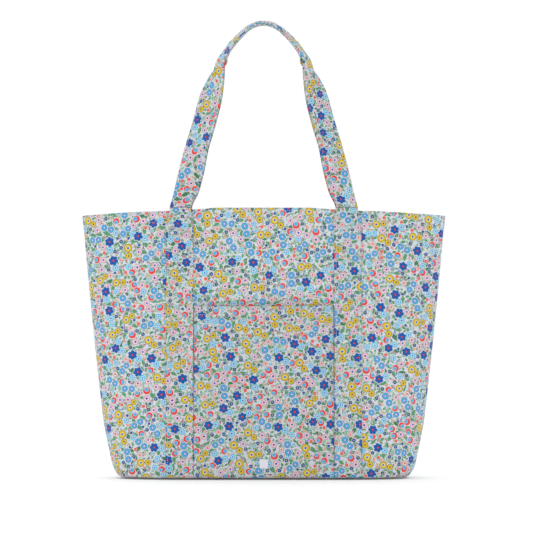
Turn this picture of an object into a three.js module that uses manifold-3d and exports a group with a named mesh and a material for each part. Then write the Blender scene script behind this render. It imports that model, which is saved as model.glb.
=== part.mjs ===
// A foldable tote bag in millimetres: X to the right, Y to the back, Z up, the floor at z = 0.
// Two cloth panels meet in a seam half way round each side, over a boxed bottom, so the girth is
// the same all the way up: wide and nearly flat at the mouth, narrower and deeper at the foot.
// The middle of each panel is a wall that can slide in towards the other wall, which is how the bag
// flattens. The wrapped sides stay on the bottom panel, and each wall carries its own handle loop.
import * as THREE from 'three';
import { mergeVertices } from 'three/addons/utils/BufferGeometryUtils.js';
import Module from 'manifold-3d';

const wasm = await Module();
wasm.setup();

// ---------------------------------------------------------------- driving dimensions
const CENTRE_HEIGHT = 378; // top edge between the straps
const CORNER_DROP = 11; // how far the top edge falls from the straps to the mouth's corners
const MOUTH_WIDTH = 508; // corner to corner
const FOOT_WIDTH = 430; // between the two side lines, carried down to the floor
const SIDE_BULGE = 2; // how far each side line bows out at mid height
const CORNER_INSETS = [[7, 80, 1.2], [7.5, 20, 1.7]]; // narrowing at the foot: depth, rise and power
const MOUTH_DEPTH = 60; // front to back at the mouth
const FOOT_DEPTH = 120; // front to back at the foot
const FOOT_INSET = 6; // how far the front and back bottom edges draw in at the floor
const FOOT_RISE = 45; // height over which they do so
const FOOT_CURVE = 2.6; // how late it starts
const DEPTH_CURVE = 1.5; // how much faster the bag deepens near the mouth than at the foot
const WALL_HALF_WIDTH = 165; // the sliding middle part of each panel

const CLOTH = 1.2;
const GAP = 0.3; // between pieces that touch
const LAYER_GAP = 0.5; // between a wall and what is sewn flat on it
const CORNER_POWER = { foot: 4.5, mouth: 8 }; // how square the bag's outline is, seen from above
const CORNER_ROUND = { foot: 0.34, mouth: 1 }; // how steeply that outline runs into the seam line
const BASE_THICKNESS = 1.6;
const WALL_FOOT = BASE_THICKNESS + GAP;

const STRAP_WIDTH = 38;
const STRAP_CENTRE = 117; // from the middle of the bag
const STRAP_THICKNESS = 1.6;
const STRAP_FOOT = 4;

const POCKET_TOP = 242;
const POCKET_CLOTH = 0.8;
const POCKET_SLACK = 9.5; // how far the pocket's mouth stands off the wall
const POCKET_HEM = 14;
const LABEL = { width: 12, height: 13, thickness: 0.8, foot: 16 };

const HEM_HEIGHT = 23;
const HEM_THICKNESS = 1;
const SEAM_WIDTH = 8; // bound seam allowances on the inside
const SEAM_THICKNESS = 1.4;
const SIDE_SEAM_FOOT = 14;
const SEAM_INSET = 2.2; // from the cloth's inner face to a side seam's binding
const END_SEAM_INSET = 12; // from the bottom panel's end to its cross seam
const END_SEAM_SHARE = 0.45; // of the foot's depth

const LOOP_LEAN = THREE.MathUtils.degToRad(15.7); // each leg's lean towards the middle
const LOOP_LEG = 197; // straight run from the mouth
const SHOULDER_RADIUS = 118; // of the wide curve above each leg
const SHOULDER_END = THREE.MathUtils.degToRad(50); // heading where it meets the tighter curve at the top
const LOOP_REACH = 18; // how far the top of the loop leans in over the mouth
const LOOP_EASE = 40; // from the mouth to where the strap is square to its own line
const LOOP_FOOT = CENTRE_HEIGHT + 1.5;
const BEND_LENGTH = 12; // the strap's first stretch above the mouth, which leans as the walls close
const GRIP_WIDTH = 19; // the strap folded in half lengthwise
const GRIP_THICKNESS = 5;
const GRIP_START = 203; // from the mouth to where the strap starts to fold
const FOLD_LENGTH = 14; // over which the strap goes from flat to folded
const TWIST = { leg: 35, legEnd: 95, fold: 30, foldRun: 42, arc: 12, arcRun: 90 }; // degrees, and runs in mm
const GRIP_STITCH = { width: 0.9, height: 0.5, fromEdge: 3, fromFold: 4 };

const POUCH = { halfWidth: 75, foot: 190, top: 335, depth: 5.8, cloth: 0.8 };
const ZIP_RISE = 14; // from the pouch's top edge up to where the tape meets the wall
const ZIP_TRAVEL = 128;
const ZIP = { tape: 0.6, teethWidth: 4, teethHeight: 1.2, middle: 7 };
const SLIDER = { length: 9, height: 1.6, width: 7.5 };
const PULL = { halfHead: 2, halfTail: 3, drop: 17, thickness: 0.9 };

const POPPER = { patch: 24, patchHeight: 20, patchThickness: 0.6, z: 366 };
const BAR_TACK = { foot: 353, height: 2.5, thickness: 0.6, inset: 3 }; // inset from the strap's edges

// ---------------------------------------------------------------- shape of the bag
const lerp = THREE.MathUtils.lerp;
const smoothstep = THREE.MathUtils.smoothstep;

/** Half the bag's width at height z, on the seam line. */
function halfWidth(z) {
  const t = z / (CENTRE_HEIGHT - CORNER_DROP);
  const side = lerp(FOOT_WIDTH, MOUTH_WIDTH, t) / 2 + SIDE_BULGE * Math.sin(Math.PI * Math.min(t, 1));
  const narrowing = CORNER_INSETS.map(([depth, rise, power]) => depth * Math.max(0, 1 - z / rise) ** power);
  return side - narrowing[0] - narrowing[1];
}

/** Half the bag's depth at height z, in the middle. */
function halfDepth(z) {
  const rest = Math.max(0, 1 - z / CENTRE_HEIGHT);
  const depth = lerp(MOUTH_DEPTH, FOOT_DEPTH, rest ** DEPTH_CURVE) / 2;
  return depth - FOOT_INSET * Math.max(0, 1 - z / FOOT_RISE) ** FOOT_CURVE;
}

/** From the middle plane to a wall's face: a round-cornered box at the foot, sharp corners at the mouth. */
function wallDepth(x, z, inset = 0, sideInset = 0) {
  const t = Math.min(z / CENTRE_HEIGHT, 1);
  const across = Math.min(1, Math.abs(x) / (halfWidth(z) - sideInset));
  const power = lerp(CORNER_POWER.foot, CORNER_POWER.mouth, t);
  return (halfDepth(z) - inset) * (1 - across ** power) ** lerp(CORNER_ROUND.foot, CORNER_ROUND.mouth, t);
}

/** Height of the top edge at x. */
function mouthHeight(x) {
  const strapEdge = STRAP_CENTRE + STRAP_WIDTH / 2;
  const beyond = Math.max(0, Math.abs(x) - strapEdge) / (MOUTH_WIDTH / 2 - strapEdge);
  return CENTRE_HEIGHT - CORNER_DROP * beyond ** 1.4;
}

// ---------------------------------------------------------------- building closed solids
/** A closed solid from rings of equal length: each ring joins the next, and the ends are capped. */
function solidFromRings(rings) {
  const count = rings[0].length;
  const positions = rings.flat().flatMap((p) => [p.x, p.y, p.z]);
  const index = [];
  for (let r = 0; r + 1 < rings.length; r++) {
    for (let i = 0; i < count; i++) {
      const a = r * count + i;
      const b = r * count + ((i + 1) % count);
      index.push(a, b, b + count, a, b + count, a + count);
    }
  }
  const last = (rings.length - 1) * count;
  for (let i = 1; i + 1 < count; i++) {
    index.push(0, i + 1, i);
    index.push(last, last + i, last + i + 1);
  }
  return facingOut(positions, index);
}

/** A closed solid between two skins, each a function of (u, v) in 0..1, on a grid of the given steps. */
function solidBetween(outer, inner, us, vs) {
  const columns = us.length;
  const rows = vs.length;
  const skinSize = columns * rows;
  const points = (skin) => vs.flatMap((v) => us.flatMap((u) => skin(u, v).toArray()));
  const positions = [...points(outer), ...points(inner)];
  const at = (skin, i, j) => skin * skinSize + j * columns + i;
  const index = [];
  const quad = (a, b, c, d) => index.push(a, b, c, a, c, d);
  for (let j = 0; j + 1 < rows; j++) {
    for (let i = 0; i + 1 < columns; i++) {
      quad(at(0, i, j), at(0, i + 1, j), at(0, i + 1, j + 1), at(0, i, j + 1));
      quad(at(1, i, j), at(1, i, j + 1), at(1, i + 1, j + 1), at(1, i + 1, j));
    }
    quad(at(0, 0, j), at(0, 0, j + 1), at(1, 0, j + 1), at(1, 0, j));
    quad(at(0, columns - 1, j), at(1, columns - 1, j), at(1, columns - 1, j + 1), at(0, columns - 1, j + 1));
  }
  for (let i = 0; i + 1 < columns; i++) {
    quad(at(0, i, 0), at(1, i, 0), at(1, i + 1, 0), at(0, i + 1, 0));
    quad(at(0, i, rows - 1), at(0, i + 1, rows - 1), at(1, i + 1, rows - 1), at(1, i, rows - 1));
  }
  return facingOut(positions, index);
}

/** Makes the geometry, turning every face round if the body would be inside out. */
function facingOut(positions, index) {
  const corner = (i) => new THREE.Vector3().fromArray(positions, index[i] * 3);
  let volume = 0;
  for (let i = 0; i < index.length; i += 3) {
    volume += corner(i).dot(corner(i + 1).cross(corner(i + 2)));
  }
  if (volume < 0) index.reverse();
  const geometry = new THREE.BufferGeometry();
  geometry.setAttribute('position', new THREE.Float32BufferAttribute(positions, 3));
  geometry.setIndex(index);
  geometry.computeVertexNormals();
  return geometry;
}

/** One solid less another. */
function cut(geometry, tool) {
  const solid = (shape) => {
    const bare = shape.clone();
    bare.deleteAttribute('normal');
    bare.deleteAttribute('uv');
    const merged = mergeVertices(bare);
    const mesh = new wasm.Mesh({
      numProp: 3,
      vertProperties: new Float32Array(merged.attributes.position.array),
      triVerts: new Uint32Array(merged.index.array),
    });
    return new wasm.Manifold(mesh);
  };
  const result = solid(geometry).subtract(solid(tool)).getMesh();
  return facingOut([...result.vertProperties], [...result.triVerts]);
}

/** n steps evenly from a to b, both ends included. */
function steps(a, b, n) {
  return Array.from({ length: n + 1 }, (_, i) => lerp(a, b, i / n));
}

// Every layer of a wall is cut at the same heights and widths, so that layers stay parallel.
const HEIGHTS = [
  WALL_FOOT, STRAP_FOOT, 10, 16, 29, 45, 65, 90, 120, 155, 190, 228, POCKET_TOP, 285, 335, 354, CENTRE_HEIGHT,
];
const STRAP_EDGES = [STRAP_CENTRE - STRAP_WIDTH / 2, STRAP_CENTRE + STRAP_WIDTH / 2];
const HALF_COLUMNS = [0, 33, 66, ...STRAP_EDGES, WALL_HALF_WIDTH];
const COLUMNS = [...HALF_COLUMNS.slice(1).reverse().map((x) => -x), ...HALF_COLUMNS];

/** The shared heights from foot to top, with both ends included. */
function heightsBetween(foot, top) {
  return [foot, ...HEIGHTS.filter((z) => z > foot && z < top), top];
}

/** A layer of a wall: side is -1 for the front and 1 for the back, offset is from the wall's outer face
    to the layer's outer face, outwards. slack(x, z) adds to the offset. */
function wallLayer(side, columns, heights, offset, thickness, slack = () => 0) {
  const skin = (depthIn) => (x, z) => {
    const top = Math.min(z, mouthHeight(x));
    return new THREE.Vector3(x, side * (wallDepth(x, top) + offset - depthIn + slack(x, top)), top);
  };
  return solidBetween(skin(0), skin(thickness), columns, heights);
}

// ---------------------------------------------------------------- materials
function material(colour, roughness, metalness = 0) {
  return new THREE.MeshStandardMaterial({ color: colour, roughness, metalness });
}
const printedCloth = material('#b9c5c6', 0.75);
const printedStrap = material('#b3c1c3', 0.78);
const binding = material('#e9e8e6', 0.85);
const thread = material('#e4e5e8', 0.6);
const labelPlastic = material('#f7f7f7', 0.45);
const zipTape = material('#dfe2e6', 0.8);
const zipNylon = material('#eef0f2', 0.45);
const popperMetal = material('#c9cbce', 0.3, 0.9);

const bag = new THREE.Group();

function piece(name, geometry, look, parent = bag) {
  const mesh = new THREE.Mesh(geometry, look);
  mesh.name = name;
  parent.add(mesh);
  return mesh;
}

// ---------------------------------------------------------------- bottom panel and wrapped sides
/** The bag's outline at height z, as a closed ring of points, drawn in by inset. */
function outline(z, inset) {
  const quarter = steps(0, Math.PI / 2, 12);
  const reach = halfWidth(z) - inset;
  const arc = quarter.map((angle) => {
    const x = reach * Math.sin(angle);
    return new THREE.Vector3(x, wallDepth(x, z, inset, inset), 0);
  });
  const mirrored = (sx, sy) => arc.map((p) => new THREE.Vector3(sx * p.x, sy * p.y, 0));
  return [
    ...mirrored(1, 1),
    ...mirrored(1, -1).reverse().slice(1),
    ...mirrored(-1, -1).slice(1),
    ...mirrored(-1, 1).reverse().slice(1, -1),
  ];
}

function bottomPanel() {
  const ring = outline(0, 0);
  const level = (z) => ring.map((p) => new THREE.Vector3(p.x, p.y, z));
  return solidFromRings([level(0), level(BASE_THICKNESS)]);
}

/** A wrapped side: from the front wall's edge round the seam line to the back wall's edge. */
function wrappedSide(side, heights, inset, thickness) {
  const edge = WALL_HALF_WIDTH + GAP;
  const angles = steps(-Math.PI / 2, Math.PI / 2, 14);
  const skin = (depthIn) => (angle, z) => {
    const corner = Math.min(z, mouthHeight(halfWidth(z)));
    const sharpness = corner / CENTRE_HEIGHT;
    const sideInset = depthIn * lerp(1, 1.45, sharpness);
    const seam = halfWidth(corner) - sideInset;
    const x = edge + (seam - edge) * Math.cos(angle);
    const top = Math.min(z, mouthHeight(x));
    const away = Math.sign(angle) * wallDepth(x, top, depthIn, sideInset);
    return new THREE.Vector3(side * x, Math.abs(angle) < 1e-6 ? 0 : away, top);
  };
  return solidBetween(skin(inset), skin(inset + thickness), angles, heights);
}

/** The bound allowance of a side seam: a strip that stands in from the seam line. */
function sideSeam(side) {
  const section = (z) => {
    const outer = halfWidth(z) - CLOTH - SEAM_INSET;
    const y = SEAM_THICKNESS / 2;
    const corners = [[outer, -y], [outer, y], [outer - SEAM_WIDTH, y], [outer - SEAM_WIDTH, -y]];
    return corners.map(([x, depth]) => new THREE.Vector3(side * x, depth, z));
  };
  const top = CENTRE_HEIGHT - CORNER_DROP - HEM_HEIGHT - 3;
  return solidFromRings(heightsBetween(SIDE_SEAM_FOOT, top).map(section));
}

/** The bound allowance of the cross seam at one end of the bottom panel. */
function endSeam(side) {
  const length = FOOT_DEPTH * END_SEAM_SHARE;
  const box = new THREE.BoxGeometry(SEAM_THICKNESS, length, SEAM_WIDTH);
  return box.translate(side * (halfWidth(0) - END_SEAM_INSET), 0, WALL_FOOT + SEAM_WIDTH / 2);
}

piece('bottom_panel', bottomPanel(), printedCloth);
for (const [side, name] of [[-1, 'left'], [1, 'right']]) {
  const hemFoot = CENTRE_HEIGHT - HEM_HEIGHT;
  piece(`${name}_side`, wrappedSide(side, HEIGHTS, 0, CLOTH), printedCloth);
  const hem = wrappedSide(side, [hemFoot, CENTRE_HEIGHT], CLOTH + GAP, HEM_THICKNESS);
  piece(`${name}_mouth_hem`, hem, printedCloth);
  piece(`${name}_side_seam`, sideSeam(side), binding);
  piece(`${name}_end_seam`, endSeam(side), binding);
}

// ---------------------------------------------------------------- the two walls
function strap(side, hand) {
  const columns = STRAP_EDGES.map((x) => hand * x).sort((a, b) => a - b);
  const heights = heightsBetween(STRAP_FOOT, CENTRE_HEIGHT);
  return wallLayer(side, columns, heights, LAYER_GAP + STRAP_THICKNESS, STRAP_THICKNESS);
}

/** The dense row of stitches that locks a strap to the mouth's hem. */
function barTack(side, hand) {
  const half = STRAP_WIDTH / 2 - BAR_TACK.inset;
  const columns = [hand * STRAP_CENTRE - half, hand * STRAP_CENTRE + half];
  const offset = LAYER_GAP + STRAP_THICKNESS + GAP + BAR_TACK.thickness;
  const heights = [BAR_TACK.foot, BAR_TACK.foot + BAR_TACK.height];
  return wallLayer(side, columns, heights, offset, BAR_TACK.thickness);
}

function wall(side, name) {
  piece(`${name}_panel`, wallLayer(side, COLUMNS, HEIGHTS, 0, CLOTH), printedCloth);
  const inner = COLUMNS.map((x) => x * 0.998);
  const hemHeights = [CENTRE_HEIGHT - HEM_HEIGHT, CENTRE_HEIGHT];
  piece(`${name}_mouth_hem`, wallLayer(side, inner, hemHeights, -CLOTH - GAP, HEM_THICKNESS), printedCloth);
  const seamHeights = [STRAP_FOOT - 1, 10];
  piece(`${name}_foot_seam`, wallLayer(side, inner, seamHeights, -CLOTH - LAYER_GAP, SEAM_THICKNESS), binding);
  for (const [hand, handName] of [[-1, 'left'], [1, 'right']]) {
    piece(`${name}_strap_${handName}`, strap(side, hand), printedStrap);
    piece(`${name}_bar_tack_${handName}`, barTack(side, hand), thread);
  }
}

wall(-1, 'front');
wall(1, 'back');

// ---------------------------------------------------------------- front pocket and label
const POCKET_HALF = STRAP_EDGES[0] - 0.4;
const POCKET_COLUMNS = steps(-POCKET_HALF, POCKET_HALF, 10);

/** How far the pocket stands off the wall: nothing along its sewn edges, most at its mouth. */
function pocketSlack(x, z) {
  const across = Math.sqrt(Math.max(0, 1 - (x / POCKET_HALF) ** 2));
  return POCKET_SLACK * across * smoothstep(z, STRAP_FOOT, POCKET_TOP * 0.8);
}

const pocketOffset = LAYER_GAP + POCKET_CLOTH;
const pocketHeights = heightsBetween(STRAP_FOOT, POCKET_TOP);
const pocket = wallLayer(-1, POCKET_COLUMNS, pocketHeights, pocketOffset, POCKET_CLOTH, pocketSlack);
piece('front_pocket', pocket, printedCloth);
piece(
  'pocket_hem',
  wallLayer(
    -1,
    POCKET_COLUMNS.slice(1, -1),
    [POCKET_TOP - POCKET_HEM, POCKET_TOP - GAP],
    pocketOffset - POCKET_CLOTH - GAP,
    POCKET_CLOTH,
    pocketSlack,
  ),
  printedCloth,
);
piece(
  'label_tab',
  wallLayer(
    -1,
    [-LABEL.width / 2, LABEL.width / 2],
    [LABEL.foot, LABEL.foot + LABEL.height],
    pocketOffset + LAYER_GAP + LABEL.thickness,
    LABEL.thickness,
    pocketSlack,
  ),
  labelPlastic,
);

// ---------------------------------------------------------------- the popper inside the mouth
const hemFace = wallDepth(0, POPPER.z) - CLOTH - GAP - HEM_THICKNESS; // the hem's face, from the middle

/** A turned popper half whose axis lies along Y, facing the middle of the bag. */
function popperHalf(side, profile) {
  const points = profile.map(([radius, height]) => new THREE.Vector2(radius, height));
  const geometry = new THREE.LatheGeometry(points, 28);
  if (side > 0) geometry.rotateX(Math.PI);
  const back = hemFace - LAYER_GAP - POPPER.patchThickness - GAP;
  return geometry.translate(0, side * back, POPPER.z);
}

function popperPatch(side) {
  const patch = new THREE.BoxGeometry(POPPER.patch, POPPER.patchThickness, POPPER.patchHeight);
  return patch.translate(0, side * (hemFace - LAYER_GAP - POPPER.patchThickness / 2), POPPER.z);
}

const SOCKET_PROFILE = [[0, 0], [7.5, 0], [7.5, 1.2], [7.1, 1.6], [3.3, 1.6], [3.3, 0.5], [0, 0.5]];
const STUD_PROFILE = [[0, 0], [7.5, 0], [7.5, 0.7], [7.1, 1], [2.8, 1], [2.8, 1.8], [2.5, 2], [0, 2]];
piece('popper_patch_front', popperPatch(-1), binding);
piece('popper_patch_back', popperPatch(1), binding);
piece('popper_socket', popperHalf(-1, SOCKET_PROFILE), popperMetal);
piece('popper_stud', popperHalf(1, STUD_PROFILE), popperMetal);

// ---------------------------------------------------------------- stow pouch on the back wall
function stowPouch() {
  const columns = steps(-POUCH.halfWidth, POUCH.halfWidth, 4);
  const heights = heightsBetween(POUCH.foot, POUCH.top);
  const body = wallLayer(1, columns, heights, -CLOTH - GAP, POUCH.depth + POUCH.cloth);
  const hollowHeights = heightsBetween(POUCH.foot + POUCH.cloth, POUCH.top + 1);
  const hollowColumns = columns.map((x) => x * (1 - POUCH.cloth / POUCH.halfWidth));
  const hollow = wallLayer(1, hollowColumns, hollowHeights, -CLOTH - GAP + 1, POUCH.depth + 1);
  return cut(body, hollow);
}

/** The zip's tape leans back from the pouch's top edge to the wall, in a plane with this frame. */
const zipFrame = new THREE.Group();
const zipFoot = wallDepth(0, POUCH.top) - CLOTH - GAP - POUCH.depth;
const zipHead = wallDepth(0, POUCH.top + ZIP_RISE) - CLOTH - LAYER_GAP - ZIP.tape;
zipFrame.position.set(0, zipFoot, POUCH.top + GAP);
zipFrame.rotation.x = -Math.atan2(zipHead - zipFoot, ZIP_RISE);
bag.add(zipFrame);

const tapeLength = POUCH.halfWidth * 2;
const tape = new THREE.BoxGeometry(tapeLength, ZIP.tape, ZIP_RISE - 1);
const teeth = new THREE.BoxGeometry(tapeLength - 8, ZIP.teethHeight, ZIP.teethWidth);
const teethY = -ZIP.tape / 2 - GAP - ZIP.teethHeight / 2;
piece('stow_pouch', stowPouch(), printedCloth);
piece('zip_tape', tape.translate(0, 0, ZIP.middle), zipTape, zipFrame);
piece('zip_teeth', teeth.translate(0, teethY, ZIP.middle), zipNylon, zipFrame);

/** The slider rides on the teeth, and its pull hangs from it. */
const sliderY = teethY - ZIP.teethHeight / 2 - GAP;
const sliderX = ZIP_TRAVEL / 2;
const sliderBody = new THREE.BoxGeometry(SLIDER.length, SLIDER.height, SLIDER.width);
sliderBody.translate(sliderX, sliderY - SLIDER.height / 2, ZIP.middle);
piece('zip_slider', sliderBody, popperMetal, zipFrame);

/** A tapered tab with round ends, hanging from a point just below its head. */
function zipPull() {
  const { halfHead, halfTail, drop, thickness } = PULL;
  const shape = new THREE.Shape();
  shape.moveTo(-halfHead, halfHead);
  shape.lineTo(-halfTail, -drop);
  shape.absarc(0, -drop, halfTail, Math.PI, 2 * Math.PI, false);
  shape.lineTo(halfHead, halfHead);
  shape.absarc(0, halfHead, halfHead, 0, Math.PI, false);
  const tab = new THREE.ExtrudeGeometry(shape, { depth: thickness, bevelEnabled: false, curveSegments: 8 });
  tab.rotateX(Math.PI / 2);
  return tab;
}
const pull = piece('zip_pull', zipPull(), popperMetal);
pull.position.set(sliderX, zipFoot + sliderY - SLIDER.height - GAP, POUCH.top + GAP + ZIP.middle - 1);

// ---------------------------------------------------------------- handle loops
/** The radius of the loop's top, so that the two halves meet in the middle. */
const crownRadius = (STRAP_CENTRE - LOOP_LEG * Math.sin(LOOP_LEAN)
  - SHOULDER_RADIUS * (Math.cos(LOOP_LEAN) - Math.cos(SHOULDER_END))) / Math.cos(SHOULDER_END);
const shoulderLength = SHOULDER_RADIUS * (SHOULDER_END - LOOP_LEAN);
const crownLength = crownRadius * (Math.PI / 2 - SHOULDER_END);
const halfLoop = LOOP_LEG + shoulderLength + crownLength;

/** The loop's centreline in its own plane: a straight leg, a wide curve and a tight one, mirrored. */
function loopPoint(distance) {
  const fromEnd = Math.min(distance, 2 * halfLoop - distance);
  const mirror = distance <= halfLoop ? -1 : 1;
  const onLeg = Math.min(fromEnd, LOOP_LEG);
  let x = STRAP_CENTRE - onLeg * Math.sin(LOOP_LEAN);
  let h = onLeg * Math.cos(LOOP_LEAN);
  let heading = LOOP_LEAN;
  for (const [start, length, radius] of [
    [LOOP_LEG, shoulderLength, SHOULDER_RADIUS],
    [LOOP_LEG + shoulderLength, crownLength, crownRadius],
  ]) {
    const turned = THREE.MathUtils.clamp(fromEnd - start, 0, length) / radius;
    x += radius * (Math.cos(heading + turned) - Math.cos(heading));
    h += radius * (Math.sin(heading + turned) - Math.sin(heading));
    heading += turned;
  }
  const section = heading * smoothstep(fromEnd, 0, LOOP_EASE); // level at the mouth, square to the line above
  return { x: mirror * x, h, outward: [mirror * Math.cos(section), Math.sin(section)], fromEnd };
}

const loopHeight = loopPoint(halfLoop).h;

/** Turn of the strap about its own line: flat where it bends, almost edge-on along the grip. */
function twist(fromEnd) {
  const leg = TWIST.leg * smoothstep(fromEnd, 2 * BEND_LENGTH, TWIST.legEnd);
  const foldFrom = GRIP_START - TWIST.foldRun / 3;
  const fold = TWIST.fold * smoothstep(fromEnd, foldFrom, foldFrom + TWIST.foldRun);
  const arc = TWIST.arc * smoothstep(fromEnd, GRIP_START, GRIP_START + TWIST.arcRun);
  return THREE.MathUtils.degToRad(leg + fold + arc);
}

/** The cross-section's corners at a distance along the loop. */
function loopRing(side, distance, section) {
  const { x, h, outward, fromEnd } = loopPoint(distance);
  const angle = twist(fromEnd);
  const lean = Math.atan2(LOOP_REACH, loopHeight);
  const up = new THREE.Vector3(0, -side * Math.sin(lean), Math.cos(lean));
  const inward = new THREE.Vector3(0, -side * Math.cos(lean), -Math.sin(lean));
  const strapMiddle = MOUTH_DEPTH / 2 + LAYER_GAP + STRAP_THICKNESS / 2;
  const centre = new THREE.Vector3(x, side * strapMiddle, LOOP_FOOT).addScaledVector(up, h);
  const out = new THREE.Vector3(outward[0], 0, 0).addScaledVector(up, outward[1]);
  const wide = out.clone().multiplyScalar(Math.cos(angle)).addScaledVector(inward, Math.sin(angle));
  const thick = out.clone().multiplyScalar(Math.sin(angle)).addScaledVector(inward, -Math.cos(angle));
  return section(fromEnd).map(([a, t]) => centre.clone().addScaledVector(wide, a).addScaledVector(thick, t));
}

function rectangle(width, thickness, acrossShift = 0, throughShift = 0) {
  const a = width / 2;
  const t = thickness / 2;
  const corners = [[-a, -t], [a, -t], [a, t], [-a, t]];
  return corners.map(([p, q]) => [p + acrossShift, q + throughShift]);
}

function strapSection(fromEnd) {
  const folded = smoothstep(fromEnd, GRIP_START, GRIP_START + FOLD_LENGTH);
  return rectangle(lerp(STRAP_WIDTH, GRIP_WIDTH, folded), lerp(STRAP_THICKNESS, GRIP_THICKNESS, folded));
}

/** A run of the loop between two distances along it. */
function loopRun(side, from, to, count) {
  return solidFromRings(steps(from, to, count).map((distance) => loopRing(side, distance, strapSection)));
}

/** The row of stitches that keeps the grip folded, near its open edge. */
function gripStitching(side) {
  const from = GRIP_START + FOLD_LENGTH + GRIP_STITCH.fromFold;
  const across = GRIP_STITCH.fromEdge - GRIP_WIDTH / 2;
  const through = GRIP_THICKNESS / 2 + LAYER_GAP;
  const section = () => rectangle(GRIP_STITCH.width, GRIP_STITCH.height, across, through);
  const distances = steps(from, 2 * halfLoop - from, 56);
  return solidFromRings(distances.map((distance) => loopRing(side, distance, section)));
}

const loopEnd = 2 * halfLoop;
for (const [side, name] of [[-1, 'front'], [1, 'back']]) {
  piece(`${name}_strap_bend_left`, loopRun(side, 0, BEND_LENGTH, 2), printedStrap);
  piece(`${name}_strap_bend_right`, loopRun(side, loopEnd - BEND_LENGTH, loopEnd, 2), printedStrap);
  piece(`${name}_handle`, loopRun(side, BEND_LENGTH + GAP, loopEnd - BEND_LENGTH - GAP, 168), printedStrap);
  piece(`${name}_grip_stitching`, gripStitching(side), thread);
}

export default bag;
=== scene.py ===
"""The looks of a foldable tote bag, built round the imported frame. Metres, front towards -Y, floor at 0."""
import math

import bpy
import numpy as np
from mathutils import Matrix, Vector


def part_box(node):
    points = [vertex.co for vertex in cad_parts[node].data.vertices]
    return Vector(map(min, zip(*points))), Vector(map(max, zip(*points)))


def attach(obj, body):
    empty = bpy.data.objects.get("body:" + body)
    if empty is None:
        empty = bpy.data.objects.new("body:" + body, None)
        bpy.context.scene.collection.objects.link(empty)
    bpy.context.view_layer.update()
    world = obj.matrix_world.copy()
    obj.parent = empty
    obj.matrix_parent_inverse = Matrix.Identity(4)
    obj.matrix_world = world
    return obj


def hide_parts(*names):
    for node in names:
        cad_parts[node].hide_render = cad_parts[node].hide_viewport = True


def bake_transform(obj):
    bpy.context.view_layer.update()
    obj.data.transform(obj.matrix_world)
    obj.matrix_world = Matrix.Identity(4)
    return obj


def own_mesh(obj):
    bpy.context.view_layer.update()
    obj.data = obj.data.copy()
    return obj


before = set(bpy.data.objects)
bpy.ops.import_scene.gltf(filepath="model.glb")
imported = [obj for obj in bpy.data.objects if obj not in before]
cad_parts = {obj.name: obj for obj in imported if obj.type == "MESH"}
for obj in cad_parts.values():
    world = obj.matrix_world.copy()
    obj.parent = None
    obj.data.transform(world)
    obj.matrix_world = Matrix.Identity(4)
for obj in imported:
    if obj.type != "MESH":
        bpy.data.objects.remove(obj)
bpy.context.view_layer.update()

SCENE = bpy.context.scene
MM = 0.001

# ---------------- shape of the bag, as packed
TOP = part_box("front_panel")[1].z
MOUTH_WIDTH = 2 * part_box("right_side")[1].x
MOUTH_DEPTH = 60 * MM
FOOT_WIDTH = 430 * MM
FOOT_DEPTH = 120 * MM
SIDE_BULGE = 2 * MM
CORNER_DROP = 11 * MM
CORNER_INSETS = ((7 * MM, 80 * MM, 1.2), (7.5 * MM, 20 * MM, 1.7))  # depth, rise and power
STRAP_SAG = (2.4 * MM, 2.0 * MM)  # how far the mouth's edge sags on the way to each strap, and across it
SAG_RUN = (60 * MM, 100 * MM)  # where that sag starts, and where the strap takes it up
MOUTH_CURVE = 1.4
FOOT_INSET = 6 * MM
FOOT_RISE = 45 * MM
FOOT_CURVE = 2.6
DEPTH_CURVE = 1.5
CORNER_POWER = (4.5, 8.0)  # at the foot and at the mouth
CORNER_ROUND = (0.34, 1.0)

STRAP_WIDTH = 38 * MM
STRAP_CENTRE = 117 * MM
STRAP_THICK = 1.5 * MM
STRAP_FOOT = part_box("front_strap_left")[0].z
POCKET_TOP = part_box("front_pocket")[1].z
POCKET_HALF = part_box("front_pocket")[1].x
POCKET_SLACK = 9.5 * MM
POCKET_HEM = 14 * MM
HEM_HEIGHT = 23 * MM

CLOTH = 0.7 * MM
LAYER = 0.5 * MM
FOOT_LIFT = 2.6 * MM  # the bottom edge stands this far off the floor
FOOT_ROUND = 3.2 * MM  # radius of the cloth turning under at the bottom edge

HINGE_DEPTH = 31.3 * MM  # from the middle to the strap's own middle at the mouth

LOOP_LEAN = math.radians(15.7)  # of each leg, from upright
LOOP_LEG = 197 * MM
SHOULDER_RADIUS = 118 * MM
SHOULDER_END = math.radians(50)
LOOP_REACH = 18 * MM  # how far the loop leans towards the other one at its top
LOOP_FOOT = TOP + 1.5 * MM
LOOP_EASE = 40 * MM
GRIP_START = 203 * MM  # along the loop, from where it leaves the mouth
LOOP_INNER_REACH = 13 * MM  # the strap's edges keep this near its line, clear of the other handle

FRONT, BACK = "front", "back"


def lerp(a, b, t):
    return a + (b - a) * t


def smooth(value, start, end):
    t = np.clip((value - start) / (end - start), 0, 1)
    return t * t * (3 - 2 * t)


def half_width(z):
    """Half the bag's width at height z, on the seam line."""
    t = z / (TOP - CORNER_DROP)
    side = lerp(FOOT_WIDTH, MOUTH_WIDTH, t) / 2 + SIDE_BULGE * np.sin(np.pi * np.clip(t, 0, 1))
    return side - sum(depth * np.clip(1 - z / rise, 0, 1) ** power for depth, rise, power in CORNER_INSETS)


def half_depth(z):
    """Half the bag's depth at height z, in its middle."""
    rest = np.clip(1 - z / TOP, 0, 1)
    depth = lerp(MOUTH_DEPTH, FOOT_DEPTH, rest**DEPTH_CURVE) / 2
    return depth - FOOT_INSET * np.clip(1 - z / FOOT_RISE, 0, 1) ** FOOT_CURVE


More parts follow.
